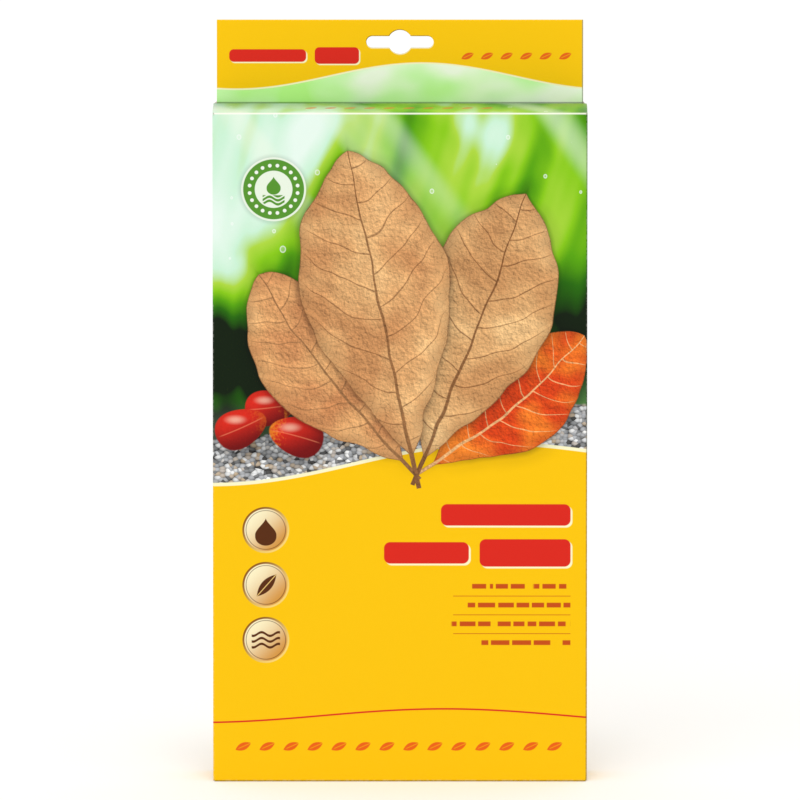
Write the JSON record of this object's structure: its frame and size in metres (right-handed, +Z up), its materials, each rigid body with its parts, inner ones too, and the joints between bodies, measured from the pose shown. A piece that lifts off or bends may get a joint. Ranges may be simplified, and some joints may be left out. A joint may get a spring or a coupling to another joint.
{
  "type": "hanging folding carton of dried leaves",
  "caption": "Tall, shallow folding carton with a euro-slot hang tab and a tuck-in lid on top, holding a standing stack of large dried leaves.",
  "frame": {"origin": "middle of the carton's underside, where it stands", "axes": "+Z up to the hang tab, -Y out of the front panel, +X to the right as the front is seen"},
  "size_m": [0.184, 0.03, 0.3755],
  "materials": {
    "printed_board": "satin",
    "printed_tab": "satin",
    "plain_board": "matte",
    "dried_leaf": "matte"
  },
  "bodies": {
    "carton": {"front_panel": "printed_board", "back_panel": "printed_board", "left_side_panel": "printed_board", "right_side_panel": "printed_board", "glue_flap": "plain_board", "header_back_ply": "printed_tab", "header_front_ply": "printed_tab", "bottom_outer_flap": "printed_board", "bottom_inner_flap": "plain_board", "bottom_dust_flap_left": "plain_board", "bottom_dust_flap_right": "plain_board", "leaf_01": "dried_leaf", "leaf_02": "dried_leaf", "leaf_03": "dried_leaf", "leaf_04": "dried_leaf", "leaf_05": "dried_leaf", "leaf_06": "dried_leaf", "leaf_07": "dried_leaf", "leaf_08": "dried_leaf", "leaf_09": "dried_leaf", "leaf_10": "dried_leaf"},
    "lid": {"lid": "printed_tab"},
    "tuck": {"tuck_flap": "plain_board"},
    "dust_left": {"dust_flap_left": "plain_board"},
    "dust_right": {"dust_flap_right": "plain_board"}
  },
  "joints": [
    {"name": "lid_fold", "type": "hinge", "parent": "carton", "child": "lid", "pos_m": [0, -0.015, 0.334], "axis": [1, 0, 0], "range_deg": [0, 110]},
    {"name": "tuck_fold", "type": "hinge", "parent": "lid", "child": "tuck", "pos_m": [0, 0.0137, 0.334], "axis": [1, 0, 0], "range_deg": [-16.5, 0]},
    {"name": "dust_left_fold", "type": "hinge", "parent": "carton", "child": "dust_left", "pos_m": [-0.0915, 0, 0.3332], "axis": [0, -1, 0], "range_deg": [0, 44]},
    {"name": "dust_right_fold", "type": "hinge", "parent": "carton", "child": "dust_right", "pos_m": [0.0915, 0, 0.3332], "axis": [0, 1, 0], "range_deg": [0, 44]}
  ],
  "couplings": [
    {"joint": "tuck_fold", "follows": "lid_fold", "ratio": -0.15},
    {"joint": "dust_left_fold", "follows": "lid_fold", "ratio": 0.4},
    {"joint": "dust_right_fold", "follows": "lid_fold", "ratio": 0.4}
  ]
}
